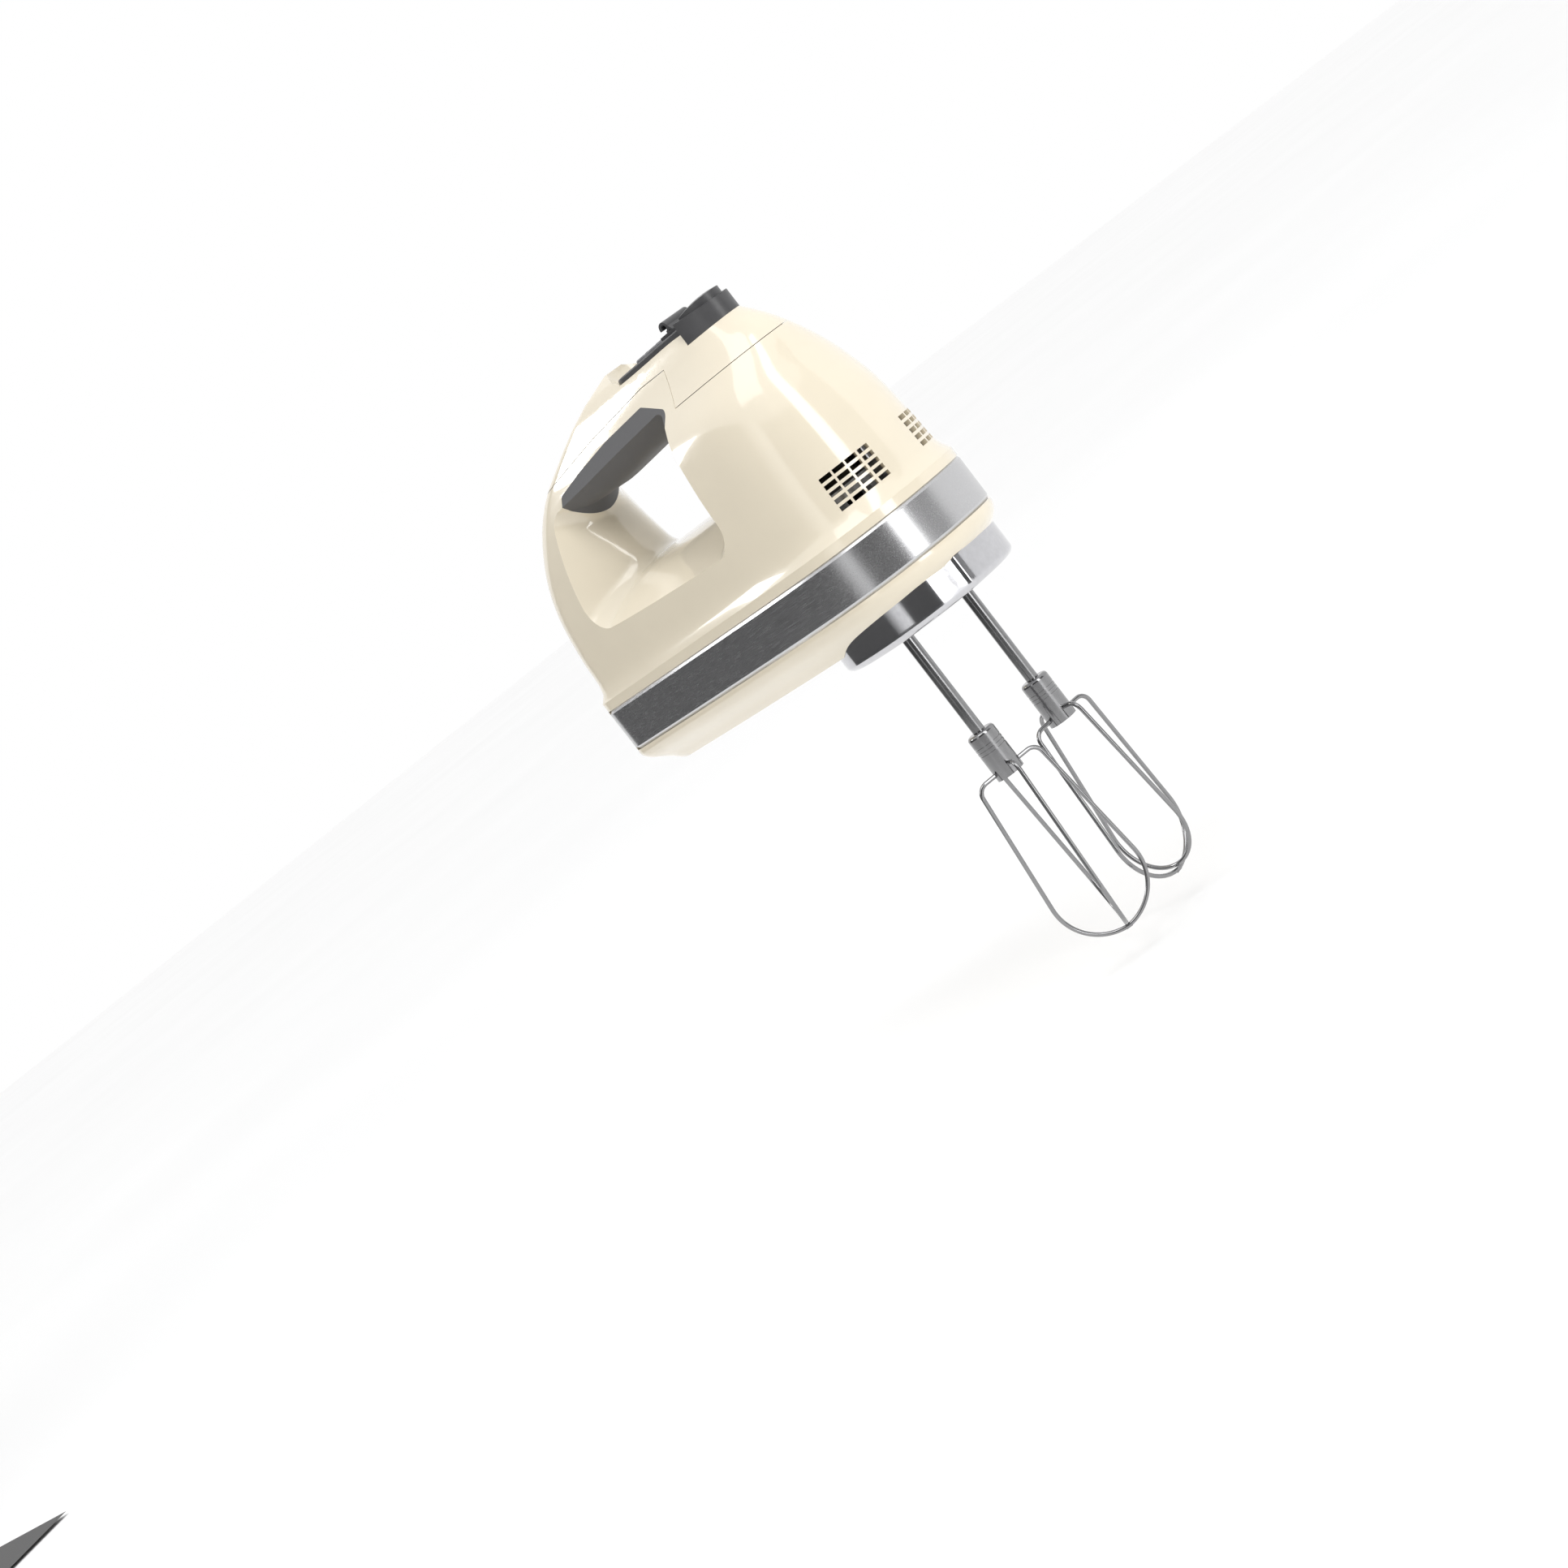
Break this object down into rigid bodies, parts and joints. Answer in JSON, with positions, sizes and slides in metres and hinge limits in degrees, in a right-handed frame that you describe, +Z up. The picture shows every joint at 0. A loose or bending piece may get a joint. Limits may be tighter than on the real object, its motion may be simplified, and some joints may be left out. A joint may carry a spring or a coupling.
{
  "type": "hand mixer",
  "caption": "Corded electric hand mixer with an arched handle, a trim band, a bright beater collar, thumb controls and a pair of counter-turning wire beaters.",
  "frame": {"origin": "middle of the flat heel face at the back, level with the middle of the trim band", "axes": "+X from heel to nose, +Z up from the beaters to the handle, +Y to the left side"},
  "size_m": [0.2046, 0.0896, 0.2926],
  "materials": {
    "cream": "gloss moulded plastic, cream",
    "soft_grip": "matt soft-touch rubber, dark grey",
    "band_steel": "brushed along its length, polished bevels",
    "collar_chrome": "polished",
    "dark_plastic": "satin moulded plastic, dark grey",
    "lens": "polished smoked plastic",
    "key_plastic": "satin moulded plastic",
    "black_rubber": "matt",
    "screw_steel": "zinc plated",
    "spring_steel": "drawn wire",
    "board_green": "solder mask",
    "switch_black": "moulded",
    "laminations": "stacked sheet steel, varnished",
    "copper": "enamelled copper wire",
    "brass": "pressed",
    "carbon": "pressed carbon",
    "frame_plastic": "glass-filled moulding",
    "bearing_steel": "ground",
    "steel_shaft": "ground",
    "fan_plastic": "moulded",
    "gear_plastic": "moulded, greased",
    "cast_frame": "die cast",
    "bronze": "sintered",
    "beater_steel": "polished stainless steel"
  },
  "bodies": {
    "housing": {"upper_housing": "cream", "handle_cover": "cream", "handle_grip": "soft_grip", "lower_housing": "cream", "trim_band": "band_steel", "beater_collar": "collar_chrome", "cord_gland": "black_rubber", "housing_screws": "screw_steel", "control_panel": "dark_plastic", "display_lens": "lens", "front_cap": "dark_plastic", "control_board": "board_green", "power_switch": "switch_black", "stator_core": "laminations", "field_coils": "copper", "rear_bracket": "frame_plastic", "brush_holders": "brass", "carbon_brushes": "carbon", "rear_bearing": "bearing_steel", "middle_bearing": "bearing_steel", "front_bearing": "bearing_steel", "gear_frame": "cast_frame", "spindle_bushes": "bronze", "ejector_spring": "spring_steel"},
    "armature": {"motor_shaft": "steel_shaft", "rotor_core": "laminations", "rotor_windings": "copper", "commutator": "copper", "cooling_fan": "fan_plastic", "drive_worm": "steel_shaft"},
    "left_drive": {"left_worm_wheel": "gear_plastic", "left_spindle": "steel_shaft"},
    "right_drive": {"right_worm_wheel": "gear_plastic", "right_spindle": "steel_shaft"},
    "left_beater": {"left_beater_shaft": "beater_steel", "left_beater_hub": "beater_steel", "left_outer_loop": "beater_steel", "left_inner_loop": "beater_steel"},
    "right_beater": {"right_beater_shaft": "beater_steel", "right_beater_hub": "beater_steel", "right_outer_loop": "beater_steel", "right_inner_loop": "beater_steel"},
    "ejector": {"ejector_button": "dark_plastic", "ejector_rod": "frame_plastic"},
    "power_slide": {"power_slide": "dark_plastic"},
    "speed_up_key": {"speed_up_key": "key_plastic"},
    "speed_down_key": {"speed_down_key": "key_plastic"}
  },
  "joints": [
    {"name": "armature_spin", "type": "hinge", "parent": "housing", "child": "armature", "pos_m": [0.163, 0, 0.014], "axis": [1, 0, 0], "continuous": true},
    {"name": "left_drive_spin", "type": "hinge", "parent": "housing", "child": "left_drive", "pos_m": [0.163, 0.0202, 0.014], "axis": [0, 0, 1], "continuous": true},
    {"name": "right_drive_spin", "type": "hinge", "parent": "housing", "child": "right_drive", "pos_m": [0.163, -0.0202, 0.014], "axis": [0, 0, 1], "continuous": true},
    {"name": "ejector_press", "type": "slide", "parent": "housing", "child": "ejector", "axis": [0, 0, -1], "range_m": [0, 0.0045], "stiffness_N_per_m": 800, "springref_m": -0.001, "deforming": ["ejector_spring"]},
    {"name": "left_beater_eject", "type": "slide", "parent": "left_drive", "child": "left_beater", "axis": [0, 0, -1], "range_m": [0, 0.0045]},
    {"name": "right_beater_eject", "type": "slide", "parent": "right_drive", "child": "right_beater", "axis": [0, 0, -1], "range_m": [0, 0.0045]},
    {"name": "power_slide_travel", "type": "slide", "parent": "housing", "child": "power_slide", "axis": [-1, 0, 0], "range_m": [0, 0.003]},
    {"name": "speed_up_press", "type": "slide", "parent": "housing", "child": "speed_up_key", "axis": [0, 0, -1], "range_m": [0, 0.0008], "stiffness_N_per_m": 800, "springref_m": -0.0003},
    {"name": "speed_down_press", "type": "slide", "parent": "housing", "child": "speed_down_key", "axis": [0, 0, -1], "range_m": [0, 0.0008], "stiffness_N_per_m": 800, "springref_m": -0.0003}
  ],
  "couplings": [
    {"joint": "left_drive_spin", "follows": "armature_spin", "ratio": -0.076923},
    {"joint": "right_drive_spin", "follows": "armature_spin", "ratio": 0.076923},
    {"joint": "left_beater_eject", "follows": "ejector_press", "ratio": 1},
    {"joint": "right_beater_eject", "follows": "ejector_press", "ratio": 1}
  ]
}
